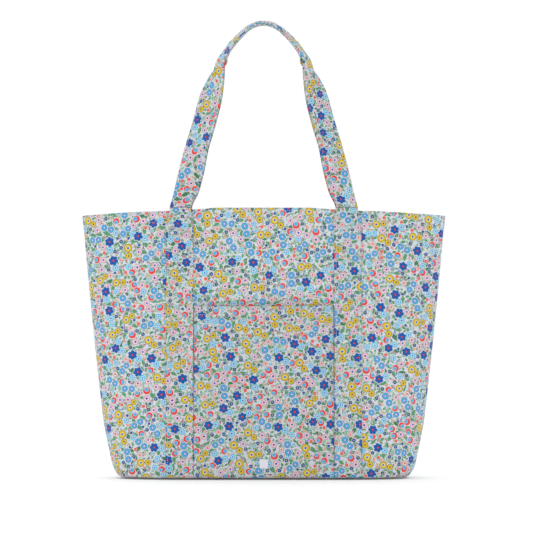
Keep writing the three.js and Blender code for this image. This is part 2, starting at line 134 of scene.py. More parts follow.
def wall_depth(x, z):
    """From the middle plane to a wall's outer face."""
    t = np.clip(z / TOP, 0, 1)
    across = np.clip(np.abs(x) / half_width(z), 0, 1)
    return half_depth(z) * (1 - across ** lerp(*CORNER_POWER, t)) ** lerp(*CORNER_ROUND, t)


def mouth_height(x):
    """Height of the mouth's edge, which sags to each strap and drops to the corner beyond it."""
    away = np.abs(x)
    edge = STRAP_CENTRE + STRAP_WIDTH / 2
    beyond = np.clip(away - edge, 0, None) / (MOUTH_WIDTH / 2 - edge)
    sag = STRAP_SAG[0] * smooth(away, *SAG_RUN) + STRAP_SAG[1] * smooth(away, SAG_RUN[1], edge)
    return TOP - sag - (CORNER_DROP - sum(STRAP_SAG)) * beyond**MOUTH_CURVE


# Soft undulations of a wall: wavelength across and up in metres, phase, height in metres.
WAVES = [
    (0.210, 0.520, 0.6, 0.0011),
    (0.145, -0.330, 2.1, 0.0009),
    (0.092, 0.400, 4.0, 0.0006),
    (0.390, 0.160, 1.3, 0.0007),
    (0.061, -0.240, 5.2, 0.0003),
]


def folds(side, x, z):
    """How far a wall's cloth stands out from its smooth shape, alike for every layer sewn on it."""
    total = 0
    for across, up, phase, height in WAVES:
        total = total + height * np.sin(2 * np.pi * (x / across + z / up) + phase + 1.7 * side)
    edge = np.clip(np.abs(x) / half_width(z), 0, 1)
    held_by_hem = 1 - 0.6 * smooth(z, TOP - 45 * MM, TOP)
    return total * (1 - edge**6) * smooth(z, 5 * MM, 70 * MM) * held_by_hem


def pocket_slack(x, z):
    """How far the pocket stands off the wall: nothing along its sewn edges, most at its mouth."""
    across = np.sqrt(np.clip(1 - (x / POCKET_HALF) ** 2, 0, 1))
    return POCKET_SLACK * across * smooth(z, STRAP_FOOT, POCKET_TOP * 0.8)


# ---------------- meshes
def link(name, data):
    """A new object of the scene that shows the data."""
    made = bpy.data.objects.new(name, data)
    SCENE.collection.objects.link(made)
    return made


def new_object(name, points, faces, material, uvs=None, inside=None):
    """A mesh object; uvs and inside are given for each point."""
    mesh = bpy.data.meshes.new(name)
    mesh.from_pydata([tuple(p) for p in points], [], faces)
    mesh.polygons.foreach_set("use_smooth", [True] * len(mesh.polygons))
    if uvs is not None:
        corner_points = np.empty(len(mesh.loops), dtype=np.int64)
        mesh.loops.foreach_get("vertex_index", corner_points)
        layer = mesh.uv_layers.new(name="cloth")
        layer.data.foreach_set("uv", np.asarray(uvs, dtype=np.float32)[corner_points].ravel())
    if inside is not None:
        mark = mesh.attributes.new("inside", "FLOAT", "POINT")
        mark.data.foreach_set("value", np.asarray(inside, dtype=np.float32))
    mesh.materials.append(material)
    return link(name, mesh)


def unit(vectors):
    return vectors / np.maximum(np.linalg.norm(vectors, axis=-1, keepdims=True), 1e-12)


def normals_of(grid):
    """Unit normals of a rows x columns grid, on the side where columns run right and rows run up."""
    along = np.gradient(grid, axis=1)
    up = np.gradient(grid, axis=0)
    return unit(np.cross(along, up))


def lengths(grid, axis):
    """Distance travelled along an axis of the grid, from its first point."""
    step = np.linalg.norm(np.diff(grid, axis=axis), axis=2)
    total = np.cumsum(step, axis=axis)
    first = np.zeros_like(np.take(total, [0], axis=axis))
    return np.concatenate([first, total], axis=axis)


def cloth_uv(grid):
    """Fabric coordinates in metres: across from the middle column, up from the foot."""
    across = lengths(grid, 1)
    middle = across[:, [across.shape[1] // 2]]
    up = lengths(grid, 0).mean(axis=1, keepdims=True)
    return np.stack([across - middle, np.broadcast_to(up, across.shape)], axis=2)


def sheet(name, outer, thickness, material, uv=None):
    """A closed sheet of cloth from the grid of its outer face: two skins and the edges between them."""
    rows, columns = outer.shape[:2]
    uv = cloth_uv(outer) if uv is None else uv
    inner = outer - normals_of(outer) * thickness
    size = rows * columns
    points = np.concatenate([outer.reshape(-1, 3), inner.reshape(-1, 3)])
    uvs = np.concatenate([uv.reshape(-1, 2), uv.reshape(-1, 2)])
    inside = np.concatenate([np.zeros(size), np.ones(size)])
    faces = []
    for j in range(rows - 1):
        for i in range(columns - 1):
            a = j * columns + i
            b = a + columns
            faces.append((a, a + 1, b + 1, b))
            faces.append((size + a, size + b, size + b + 1, size + a + 1))
    for i in range(columns - 1):
        last = (rows - 1) * columns + i
        faces.append((i, size + i, size + i + 1, i + 1))
        faces.append((last, last + 1, size + last + 1, size + last))
    for j in range(rows - 1):
        left = j * columns
        right = left + columns - 1
        faces.append((left, left + columns, size + left + columns, size + left))
        faces.append((right, size + right, size + right + columns, right + columns))
    return new_object(name, points, faces, material, uvs, inside)


def facing(side, grid):
    """A front wall's grid as it is, or turned half a turn about Z for the back wall."""
    return grid if side == FRONT else grid * np.array([-1.0, -1.0, 1.0])


def turn_of(side):
    """The sign of Y on that side of the bag."""
    return -1 if side == FRONT else 1


def wall_points(side, x, z, offset):
    """Points at x and z on a wall, offset outwards, as an array that ends in 3."""
    x, z = np.broadcast_arrays(x, z)
    y = -(wall_depth(x, z) + folds(turn_of(side), x, z) + offset)
    return facing(side, np.stack([x, y, z], axis=-1))


STITCH_LENGTH = 2.3 * MM
STITCH_PITCH = 3.1 * MM
STITCH_RADIUS = 0.24 * MM
STITCH_RINGS = (0.0, 0.22, 0.78, 1.0)  # shares of its length: a point, two rings of four, a point


def stitches(name, lines, material, pitch=STITCH_PITCH, radius=STITCH_RADIUS):
    """Rows of stitches as one mesh. Each line is (points, normals) along a row on the cloth's face."""
    points, faces = [], []
    for row, normals in lines:
        row, normals = np.asarray(row), np.asarray(normals)
        run = np.concatenate([[0], np.cumsum(np.linalg.norm(np.diff(row, axis=0), axis=1))])
        count = max(1, int(run[-1] / pitch))
        starts = (np.arange(count) + 0.15) * run[-1] / count
        length = STITCH_LENGTH / STITCH_PITCH * run[-1] / count
        at = lambda d, data: np.stack([np.interp(d, run, data[:, k]) for k in range(3)], axis=1)
        base = len(points)
        block = np.zeros((count, 10, 3))
        for k, share in enumerate(STITCH_RINGS):
            d = starts + length * share
            centre, n = at(d, row), at(d, normals)
            ahead = at(np.minimum(d + 0.2 * MM, run[-1]), row) - at(np.maximum(d - 0.2 * MM, 0), row)
            across = unit(np.cross(ahead, n))
            n = unit(n)
            if k in (0, 3):
                block[:, 3 * k] = centre - n * radius * 0.4
                continue
            lifted = centre + n * radius * 0.25
            for corner, way in enumerate((across, n, -across, -n)):
                block[:, 4 * k - 3 + corner] = lifted + way * radius
        for o in range(base, base + 10 * count, 10):
            for i in range(4):
                j = (i + 1) % 4
                faces.append((o, o + 1 + j, o + 1 + i))
                faces.append((o + 1 + i, o + 1 + j, o + 5 + j, o + 5 + i))
                faces.append((o + 5 + i, o + 5 + j, o + 9))
        points.extend(block.reshape(-1, 3))
    return new_object(name, points, faces, material)


def flatten(piece, towards):
    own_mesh(piece)


def on_wall(piece, side, slot, *nodes):
    """The piece rides on a wall."""
    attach(piece, f"{side}_wall")
    flatten(piece, turn_of(side) * HINGE_DEPTH)
    finish_piece(nodes)


def on_base(piece, slot, *nodes):
    """The piece rides on the base."""
    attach(piece, "base")
    flatten(piece, 0)
    finish_piece(nodes)


def finish_piece(nodes):
    if nodes:
        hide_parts(*nodes)


# ---------------- materials
class Graph:
    """Short names for the shader nodes of one tree. Inputs are sockets or plain values."""

    def __init__(self, tree):
        self.tree = tree

    def feed(self, socket, value):
        if isinstance(value, bpy.types.NodeSocket):
            self.tree.links.new(value, socket)
        elif value is not None:
            socket.default_value = value

    def node(self, kind, inputs=(), **settings):
        made = self.tree.nodes.new(kind)
        for key, value in settings.items():
            setattr(made, key, value)
        for key, value in dict(inputs).items():
            self.feed(made.inputs[key], value)
        return made

    def math(self, operation, *values):
        return self.node("ShaderNodeMath", enumerate(values), operation=operation).outputs[0]

    def times(self, a, b):
        return self.math("MULTIPLY", a, b)

    def plus(self, a, b):
        return self.math("ADD", a, b)

    def minus(self, a, b):
        return self.math("SUBTRACT", a, b)

    def vector(self, operation, *values):
        made = self.node("ShaderNodeVectorMath", enumerate(values), operation=operation)
        return made.outputs["Value" if operation == "LENGTH" else "Vector"]

    def combine(self, x, y, z=0.0):
        return self.node("ShaderNodeCombineXYZ", {"X": x, "Y": y, "Z": z}).outputs[0]

    def separate(self, vector):
        made = self.node("ShaderNodeSeparateXYZ", {0: vector})
        return made.outputs[0], made.outputs[1]

    def turn(self, vector, angle):
        inputs = {"Vector": vector, "Angle": angle}
        return self.node("ShaderNodeVectorRotate", inputs, rotation_type="Z_AXIS").outputs[0]

    def below(self, value, limit):
        return self.math("LESS_THAN", value, limit)

    def over(self, share, under, top):
        """Colour top laid over under, where share is 1."""
        made = self.node("ShaderNodeMix", data_type="RGBA")
        for index, value in ((0, share), (6, under), (7, top)):
            self.feed(made.inputs[index], value)
        return made.outputs[2]

    def pick(self, value, choices):
        """One of the choices by a value from 0 to 1. Choices are (from, colour or number)."""
        made = self.tree.nodes.new("ShaderNodeValToRGB")
        ramp = made.color_ramp
        ramp.interpolation = "CONSTANT"
        while len(ramp.elements) < len(choices):
            ramp.elements.new(0.5)
        for element, (start, choice) in zip(ramp.elements, choices):
            element.position = start
            element.color = choice if isinstance(choice, tuple) else (choice, choice, choice, 1)
        self.feed(made.inputs[0], value)
        return made.outputs[0]

    def noise(self, place, scale, detail, output="Fac"):
        inputs = {"Vector": place, "Scale": scale, "Detail": detail}
        return self.node("ShaderNodeTexNoise", inputs).outputs[output]

    def bump(self, shader, height, strength, distance):
        inputs = {"Height": height, "Strength": strength, "Distance": distance}
        self.feed(shader.inputs["Normal"], self.node("ShaderNodeBump", inputs).outputs["Normal"])


def colour(red, green, blue):
    """A shader colour from the usual 0 to 255 values."""
    channel = lambda c: (c / 255 / 12.92) if c / 255 <= 0.04045 else ((c / 255 + 0.055) / 1.055) ** 2.4
    return (channel(red), channel(green), channel(blue), 1)


GROUND = colour(205, 208, 214)
DARK_BLUE = colour(0, 82, 164)
NAVY = colour(0, 52, 120)
LIGHT_BLUE = colour(78, 170, 216)
PALE_BLUE = colour(116, 198, 226)
MID_BLUE = colour(20, 108, 180)
YELLOW = colour(214, 182, 22)
OLIVE = colour(118, 100, 36)
LIME = colour(180, 200, 100)
CORAL = colour(226, 62, 56)
ORANGE = colour(224, 88, 60)
PALE_CORAL = colour(236, 160, 150)
PINK = colour(234, 198, 210)
DUSTY_PINK = colour(178, 104, 122)
GREEN = colour(78, 142, 98)
DEEP_GREEN = colour(52, 114, 74)
PALE_GREEN = colour(132, 180, 150)
MAROON = colour(146, 46, 66)
MUSTARD = colour(194, 138, 56)
NEAR_WHITE = colour(222, 225, 231)


def group(name, outputs):
    """A shader node group that takes a place in fabric millimetres."""
    tree = bpy.data.node_groups.new(name, "ShaderNodeTree")
    tree.interface.new_socket("Place", in_out="INPUT", socket_type="NodeSocketVector")
    for label, kind in outputs:
        tree.interface.new_socket(label, in_out="OUTPUT", socket_type=kind)
    g = Graph(tree)
    place = tree.nodes.new("NodeGroupInput").outputs["Place"]
    end = tree.nodes.new("NodeGroupOutput")
    return g, place, end


def use(g, name, place):
    made = g.node("ShaderNodeGroup", node_tree=bpy.data.node_groups[name])
    g.feed(made.inputs["Place"], place)
    return made.outputs


def cells(g, place, width, height, tilt, jitter, seed):
    """Brick-laid cells with one motif in each: the place measured from the motif's middle, that middle,
    and three random numbers."""
    tilted = g.vector("ADD", g.turn(place, math.radians(tilt)), (seed * 37.3, seed * 19.1, 0))
    x, y = g.separate(tilted)
    row = g.math("FLOOR", g.math("DIVIDE", y, height))
    odd = g.math("FLOORED_MODULO", row, 2.0)
    shifted = g.plus(x, g.times(odd, width / 2))
    column = g.math("FLOOR", g.math("DIVIDE", shifted, width))
    first, second = (
        g.node("ShaderNodeTexWhiteNoise", {"Vector": spot}, noise_dimensions="3D").outputs
        for spot in (g.combine(column, row, seed), g.combine(row, column, seed + 0.5))
    )
    middle = lambda index, size, stray: g.plus(
        g.times(g.plus(index, 0.5), size), g.times(g.minus(stray, 0.5), jitter * size)
    )
    r1, r2 = g.separate(first["Color"])
    local = g.combine(g.minus(shifted, middle(column, width, r1)), g.minus(y, middle(row, height, r2)))
    centre = g.vector("SUBTRACT", place, g.turn(local, -math.radians(tilt)))
    return local, centre, first["Value"], second["Value"], g.separate(second["Color"])[0]


def flower(g, at, radius, petals, notch):
    """A petalled outline: the distance in mm, below 0 inside it, and the distance from its middle. The
    notch between petals is in tenths of the radius."""
    x, y = g.separate(at)
    away = g.vector("LENGTH", at)
    angle = g.times(g.math("ARCTAN2", y, x), g.math("DIVIDE", petals, 2.0))
    wave = g.math("ABSOLUTE", g.math("COSINE", angle))
    scallop = g.times(g.minus(1.0, wave), g.times(notch, 0.1))
    edge = g.times(radius, g.minus(1.0, scallop))
    return g.minus(away, edge), away


def painted_flower(g, distance, away, petal, rim, ring, heart, heart_radius, rim_width=0.75):
    """Petals with a darker rim, a ring and a heart."""
    petals = g.over(g.math("GREATER_THAN", distance, -rim_width), petal, rim)
    ringed = g.over(g.below(away, g.plus(heart_radius, 0.7)), petals, ring)
    return g.over(g.below(away, heart_radius), ringed, heart)


MOTIF_OUTPUTS = [("Color", "NodeSocketColor"), ("Distance", "NodeSocketFloat")]
FAR = 50.0  # a distance in mm that puts a motif out of sight


def finish_motif(g, end, paint, distance):
    g.feed(end.inputs["Color"], paint)
    g.feed(end.inputs["Distance"], distance)


def scattered(name, *layout):
    """A motif's group, with its cells and each motif turned anyhow."""
    g, place, end = group(name, MOTIF_OUTPUTS)
    local, centre, kind, angle, size = cells(g, place, *layout)
    return g, end, g.turn(local, g.times(angle, 2 * math.pi)), centre, kind, size


def choosers(g, kind, shares):
    """Two functions that give one of their arguments, a colour or a number, by the kind from 0 to 1."""
    table = lambda *choices: g.pick(kind, list(zip(shares, choices)))
    number = lambda *values: g.times(table(*[v / 10 for v in values]), 10.0)
    return table, number


def big_flowers():
    """Pairs of flowers: a blue star and a pale daisy, two yellow ones, two light blue ones, or a coral
    one with a pink one."""
    g, place, end = group("big_flowers", MOTIF_OUTPUTS)
    local, _, kind, angle, size = cells(g, place, 27.0, 23.0, 17.0, 0.18, 3.0)
    local = g.turn(local, g.times(g.minus(angle, 0.5), 2.6))
    scale = g.plus(0.93, g.times(size, 0.14))
    local = g.vector("DIVIDE", local, g.combine(scale, scale, 1.0))
    table, number = choosers(g, kind, (0.0, 0.27, 0.53, 0.78))
    main = g.vector("ADD", local, (4.8, 0.0, 0.0))
    distance, _ = flower(g, main, number(6.7, 5.9, 4.7, 4.9), number(6, 7, 9, 8), number(2.6, 1.1, 0.9, 0.6))
    shifted = g.vector("ADD", main, g.combine(number(0, 0, 0, 1.5), 0.0))
    first = painted_flower(
        g, distance, g.vector("LENGTH", shifted),
        table(DARK_BLUE, YELLOW, LIGHT_BLUE, CORAL),
        table(DARK_BLUE, OLIVE, MID_BLUE, CORAL),
        table(NAVY, NEAR_WHITE, MID_BLUE, PALE_BLUE),
        table(CORAL, DARK_BLUE, PINK, LIGHT_BLUE),
        number(1.3, 1.5, 1.2, 2.2),
    )
    other = g.vector("ADD", local, (-5.6, 0.4, 0.0))
    far, far_away = flower(
        g, other, number(4.5, 4.7, 4.6, 4.5), number(8, 6, 9, 5), number(1.2, 1.4, 0.9, 1.6)
    )
    second = painted_flower(
        g, far, far_away,
        table(PALE_BLUE, YELLOW, LIGHT_BLUE, PINK),
        table(LIGHT_BLUE, OLIVE, MID_BLUE, DUSTY_PINK),
        table(NEAR_WHITE, YELLOW, MID_BLUE, PINK),
        table(MID_BLUE, NAVY, PINK, DARK_BLUE),
        number(1.3, 1.1, 1.2, 1.5),
    )
    paint = g.over(g.below(far, distance), first, second)
    finish_motif(g, end, paint, g.math("MINIMUM", distance, far))


def clear_of(g, distance, centre, radius, *groups):
    """The distance, pushed out of sight where a motif's middle is too close to a bigger motif."""
    for name in groups:
        room = use(g, name, centre)["Distance"]
        distance = g.plus(distance, g.times(g.below(room, radius), FAR))
    return distance


def mid_flowers():
    """Pink flowers with a blue heart, coral crescents, pale daisies and light blue rounds, in the gaps."""
    g, end, local, centre, kind, _ = scattered("mid_flowers", 14.6, 13.2, -21.0, 0.25, 5.0)
    table, number = choosers(g, kind, (0.0, 0.34, 0.58, 0.82))
    distance, _ = flower(g, local, number(4.2, 4.4, 4.1, 3.7), number(5, 7, 8, 6), number(1.7, 0.6, 1.3, 1.6))
    heart = g.vector("LENGTH", g.vector("ADD", local, g.combine(number(0, 1.4, 0, 0), 0.0)))
    paint = painted_flower(
        g, distance, heart,
        table(PINK, CORAL, PALE_BLUE, NEAR_WHITE),
        table(DUSTY_PINK, CORAL, LIGHT_BLUE, DUSTY_PINK),
        table(PINK, PALE_BLUE, NEAR_WHITE, PALE_CORAL),
        table(DARK_BLUE, LIGHT_BLUE, MID_BLUE, ORANGE),
        number(1.4, 2.1, 1.2, 1.2),
    )
    distance = clear_of(g, distance, centre, 4.6, "big_flowers")
    finish_motif(g, end, paint, distance)


def small_flowers():
    """Small dark blue rounds with a green-yellow heart, orange ones, and florets."""
    g, end, local, centre, kind, _ = scattered("small_flowers", 9.2, 8.4, 33.0, 0.3, 7.0)
    table, number = choosers(g, kind, (0.0, 0.3, 0.52, 0.66, 0.84))
    distance, away = flower(
        g, local, number(2.7, 2.4, 2.1, 2.2, 0.0), number(8, 5, 5, 3, 4), number(0.6, 1.6, 1.8, 3.4, 0)
    )
    paint = painted_flower(
        g, distance, away,
        table(DARK_BLUE, ORANGE, PALE_BLUE, NAVY, GROUND),
        table(NAVY, CORAL, LIGHT_BLUE, NAVY, GROUND),
        table(NAVY, ORANGE, PALE_BLUE, DARK_BLUE, GROUND),
        table(LIME, PALE_CORAL, LIME, DARK_BLUE, GROUND),
        number(0.8, 0.4, 0.6, 0.5, 0),
        0.5,
    )
    distance = clear_of(g, distance, centre, 2.9, "big_flowers", "mid_flowers")
    finish_motif(g, end, paint, distance)


def leaves(name, width, height, tilt, seed, half_length, half_breadth, tints, thin):
    """One pointed leaf in each cell, with a paler rib. thin is the share of cells left empty."""
    g, end, local, _, kind, size = scattered(name, width, height, tilt, 0.3, seed)
    scale = g.plus(0.75, g.times(size, 0.5))
    x, y = g.separate(local)
    from_rib = g.math("ABSOLUTE", y)
    along = g.math("DIVIDE", x, g.times(scale, half_length))
    lens = g.minus(1.0, g.times(along, along))
    shape = g.minus(from_rib, g.times(lens, g.times(scale, half_breadth)))
    distance = g.plus(shape, g.times(g.below(size, thin), FAR))
    rib = g.times(g.below(from_rib, 0.22), 0.45)
    finish_motif(g, end, g.over(rib, g.pick(kind, tints), PALE_GREEN), distance)


SPRIG = (  # each berry's place and radius, mm
    (-2.3, 0.9, 0.85), (-0.8, -0.1, 0.9), (0.9, 0.5, 0.8), (2.2, -0.6, 0.75), (0.3, -1.6, 0.7)
)


def berries():
    """Sprigs of tiny berries: a few dots in a row with a bend."""
    g, end, local, centre, kind, _ = scattered("berries", 10.5, 9.5, 8.0, 0.35, 11.0)
    distance = FAR
    for x, y, radius in SPRIG:
        dot = g.minus(g.vector("LENGTH", g.vector("SUBTRACT", local, (x, y, 0.0))), radius)
        distance = g.math("MINIMUM", distance, dot)
    distance = clear_of(g, distance, centre, 2.4, "big_flowers")
    paint = g.pick(kind, [(0.0, MAROON), (0.36, MUSTARD), (0.66, DARK_BLUE), (0.82, ORANGE)])
    finish_motif(g, end, paint, distance)


def print_group():
    """All the motifs of the print, the small ones first, each with a thin clear border."""
    big_flowers()
    mid_flowers()
    small_flowers()
    greens = [(0.0, GREEN), (0.4, DEEP_GREEN), (0.6, GREEN), (0.85, PALE_GREEN)]
    pale = [(0.0, PALE_GREEN), (0.45, GREEN), (0.8, PALE_GREEN)]
    leaves("large_leaves", 11.4, 10.2, 52.0, 13.0, 5.4, 2.4, greens, 0.1)
    leaves("small_leaves", 6.4, 5.8, -9.0, 17.0, 3.1, 1.3, greens, 0.15)
    leaves("sprigs", 4.7, 4.3, 24.0, 19.0, 1.9, 0.55, pale, 0.25)
    berries()
    g, place, end = group("floral_print", [("Color", "NodeSocketColor")])
    wobble = g.vector("SUBTRACT", g.noise(place, 0.35, 1.0, "Color"), (0.5, 0.5, 0.5))
    place = g.vector("ADD", place, g.vector("MULTIPLY", wobble, (1.1, 1.1, 0.0)))
    paint = GROUND
    layers = (("sprigs", 0.0), ("small_leaves", 0.3), ("large_leaves", 0.4), ("berries", 0.5),
              ("small_flowers", 0.6), ("mid_flowers", 0.8), ("big_flowers", 0.9))
    for name, border in layers:
        motif = use(g, name, place)
        if border:
            paint = g.over(g.below(motif["Distance"], border), paint, GROUND)
        paint = g.over(g.below(motif["Distance"], 0.0), paint, motif["Color"])
    g.feed(end.inputs["Color"], paint)


def new_material(name, roughness, **constants):
    """A Principled material and its graph; constants are set on the shader's own sockets."""
    made = bpy.data.materials.new(name)
    made.use_nodes = True
    shader = made.node_tree.nodes["Principled BSDF"]
    shader.inputs["Roughness"].default_value = roughness
    for key, value in constants.items():
        shader.inputs[key.replace("_", " ")].default_value = value
    return made, Graph(made.node_tree), shader


CREASE_SIZE = 9.0  # of the soft creases in the cloth, mm


def weave(g, shader, place, pitch, strength):
    """A plain weave's bump over soft creases, from fabric millimetres."""
    x, y = g.separate(place)
    warp = g.math("SINE", g.times(x, 2 * math.pi / pitch))
    weft = g.math("SINE", g.times(y, 2 * math.pi / pitch))
    threads = g.times(warp, weft)
    soft = g.noise(place, 1 / CREASE_SIZE, 3.0)
    height = g.plus(g.times(threads, 0.05), g.times(soft, 1.6))
    g.bump(shader, height, strength, 0.35 * MM)
    return threads, soft


def printed_material(name, shift, roughness=0.62, painted_shade_tone=1.0, reverse=0.62):
    """Printed cloth: the print outside, its paler reverse inside, a fine weave and soft sheen. Its tone
    scales the whole base colour down, as painted shade.
    """
    made, g, shader = new_material(
        name, roughness, Sheen_Weight=0.12, Sheen_Roughness=0.5, Specular_IOR_Level=0.35
    )
    fabric = g.node("ShaderNodeUVMap", uv_map="cloth").outputs[0]
    place = g.vector("ADD", g.vector("MULTIPLY", fabric, (1000.0, 1000.0, 0.0)), (*shift, 0.0))
    paint = use(g, "floral_print", place)["Color"]
    threads, soft = weave(g, shader, place, 0.9, 0.35)
    inside = g.node("ShaderNodeAttribute", attribute_name="inside").outputs["Fac"]
    paint = g.over(g.times(inside, reverse), paint, NEAR_WHITE)
    # The tone darkens the whole cloth here: painted shade.
    shade = g.plus(painted_shade_tone - 0.035, g.plus(g.times(threads, 0.015), g.times(soft, 0.06)))
    g.feed(shader.inputs["Base Color"], g.vector("MULTIPLY", paint, shade))
    g.feed(shader.inputs["Roughness"], g.plus(roughness - 0.06, g.times(soft, 0.12)))
    return made


def object_mm(g):
    """The object's own coordinates in millimetres."""
    place = g.node("ShaderNodeTexCoord").outputs["Object"]
    return g.vector("MULTIPLY", place, (1000.0, 1000.0, 1000.0))


def plain_cloth(name, tint, roughness, pitch, strength=0.5):
    """Woven tape or thread in one colour, with its own ribs."""
    made, g, shader = new_material(name, roughness, Sheen_Weight=0.2)
    place = object_mm(g)
    x, y, z = g.node("ShaderNodeSeparateXYZ", {0: place}).outputs
    wave = lambda along: g.math("SINE", g.times(along, 2 * math.pi / pitch))
    ribs = g.times(wave(g.plus(x, y)), wave(z))
    g.bump(shader, ribs, strength, 0.1 * MM)
    shade = g.plus(0.9, g.plus(g.times(ribs, 0.04), g.times(g.noise(place, 0.2, 4.0), 0.12)))
    g.feed(shader.inputs["Base Color"], g.vector("MULTIPLY", tint[:3], shade))
    return made


def metal_material():
    """Brushed along X."""
    made, g, shader = new_material("brushed_metal", 0.32, Metallic=1.0)
    grain = g.noise(g.vector("MULTIPLY", object_mm(g), (0.6, 3.0, 3.0)), 2.0, 5.0)
    g.feed(shader.inputs["Base Color"], g.over(grain, colour(188, 190, 194), colour(222, 224, 228)))
    g.feed(shader.inputs["Roughness"], g.plus(0.22, g.times(grain, 0.22)))
    return made


def label_material():
    """Smooth coated tape, a little uneven."""
    made, g, shader = new_material("blank_label", 0.42, Specular_IOR_Level=0.45)
    soft = g.noise(object_mm(g), 1.4, 5.0)
    g.bump(shader, soft, 0.25, 0.1 * MM)
    g.feed(shader.inputs["Base Color"], g.over(soft, colour(208, 211, 220), colour(222, 224, 232)))
    return made


print_group()
CLOTH_FRONT = printed_material("printed_cloth_front", (0.0, 0.0))
CLOTH_BACK = printed_material("printed_cloth_back", (251.0, 133.0))
CLOTH_SMALL = printed_material("printed_cloth_lining", (611.0, 407.0))
# Painted shade: the bottom cloth is darkened to 0.6 to stand in for the contact shadow under the bag's front
# edge.
CLOTH_BOTTOM_PAINTED_SHADE = printed_material("printed_cloth_bottom_painted_shade", (611.0, 407.0), painted_shade_tone=0.6)
# Painted shade: the pocket (0.9) and the straps (0.93) are darker copies of the printed cloth, standing in
# for their shading.
CLOTH_POCKET_PAINTED_SHADE = printed_material("printed_cloth_pocket_painted_shade", (97.0, 351.0), painted_shade_tone=0.9)
STRAP_CLOTH_PAINTED_SHADE = printed_material("printed_strap", (1033.0, 771.0), 0.66, painted_shade_tone=0.93, reverse=0.0)
THREAD = plain_cloth("thread", colour(214, 218, 226), 0.55, 0.35)
BINDING = plain_cloth("seam_binding", colour(224, 224, 226), 0.8, 0.8)
ZIP_TAPE = plain_cloth("zip_tape", colour(206, 210, 218), 0.75, 0.7)
ZIP_COIL = plain_cloth("zip_coil", colour(226, 229, 233), 0.4, 0.5, 0.2)
LABEL = label_material()
METAL = metal_material()


# ---------------- the body
SEAM_GAP = 0.2 * MM  # of each panel's edge from the middle plane
SEAM_PINCH = 0.9 * MM  # how far the side seam pulls in


def panel_grid(side, rows=110, columns=150):
    """A whole cloth panel from seam to seam: its bottom edge turns under, its top edge follows the mouth."""
    u = np.linspace(-1, 1, columns + 1)
    top = mouth_height(half_width(TOP) * np.sin(u * np.pi / 2))
    foot = FOOT_LIFT + FOOT_ROUND
    levels = [(foot - FOOT_ROUND * math.cos(a), FOOT_ROUND * (1 - math.sin(a)))
              for a in np.linspace(0.12, 1, 5)[:-1] * np.pi / 2]
    levels += [(foot + (top - foot) * t, 0.0) for t in np.linspace(0, 1, rows + 1) ** 1.15]
    grid = []
    for z, inset in levels:
        z = np.broadcast_to(z, u.shape)
        reach = half_width(z)
        x = (reach - inset) * np.sin(u * np.pi / 2)
        depth = wall_depth(x * reach / (reach - inset), z) + folds(turn_of(side), x, z)
        y = inset * (1 - np.abs(u) ** 8) - depth
        y[[0, -1]] = -SEAM_GAP
        x = x - np.sign(u) * SEAM_PINCH * np.exp(-((1 - np.abs(u)) / 0.012) ** 2)
        grid.append(np.stack([x, y, z], axis=1))
    return facing(side, np.array(grid))


def body():
    """Front and back cloth, each with its half of the two sides."""
    for side, look in ((FRONT, CLOTH_FRONT), (BACK, CLOTH_BACK)):
        grid = panel_grid(side)
        sides = ("left_side", "right_side") if side == FRONT else ()
        on_base(sheet(f"{side}_cloth", grid, CLOTH, look), "printed_cloth", f"{side}_panel", *sides)


def bottom():
    """The bottom panel: it rests on the floor in its middle and rises to the seam round its edge."""
    rings = np.linspace(0, 1, 16)[:, None]
    angles = np.linspace(0, 2 * np.pi, 129)
    x = (half_width(FOOT_LIFT) - FOOT_ROUND) * np.sin(angles)
    inset = FOOT_ROUND * (1 - np.abs(np.sin(angles)) ** 8)
    y = np.sign(np.cos(angles)) * (wall_depth(x, FOOT_LIFT) - inset)
    x, y = x * rings, y * rings
    lift = 0.3 * MM + (FOOT_LIFT - 0.2 * MM) * smooth(rings, 0.62, 1.0)
    ripple = 0.25 * MM * np.sin(x * 70) * np.sin(y * 90 + 1) * smooth(rings, 0.3, 0.7)
    z = np.maximum(lift + ripple, 0.1 * MM)
    grid = np.stack([x, y, z], axis=2)[:, ::-1]
    uv = grid[:, :, :2] + np.array([0.31, 0.77])
    # Its material is darkened as painted shade, for the contact shadow under the front edge.
    made = sheet("bottom_cloth", grid, CLOTH, CLOTH_BOTTOM_PAINTED_SHADE, uv)
    on_base(made, "printed_cloth", "bottom_panel")


body()
bottom()


# ---------------- straps and handles
EDGE_ROW = 16.4 * MM  # rows of stitches, from the strap's middle line
CURL_WIDTH = 9 * MM  # the strap's edge that curls back above the bar tack
CURL_START = TOP - 24 * MM
OUTER_CURL = math.radians(120)
INNER_CURL = math.radians(90)
BARE_ROWS = 12  # rows of the loop at each end that have no stitches

# Along the loop, from where it leaves the mouth.
TWISTS = (  # degrees, and the stretch over which the strap turns by them
    (35, 24 * MM, 95 * MM),
    (30, GRIP_START - 14 * MM, GRIP_START + 28 * MM),
    (12, GRIP_START, GRIP_START + 90 * MM),
)
EARLY_FOLD, EARLY_RUN = math.radians(55), (150 * MM, 212 * MM)  # the strap cups towards its grip
FOLDED, FOLD_RUN = math.radians(178), (200 * MM, 222 * MM)  # and lies folded in half along it
CREASE_SHIFT, SHIFT_RUN = 8.2 * MM, (150 * MM, 210 * MM)  # outward, of the line it folds on
GATHER, GATHER_PLACE, GATHER_LENGTH = 0.25, 211 * MM, 9 * MM  # of the outer half, where it turns over


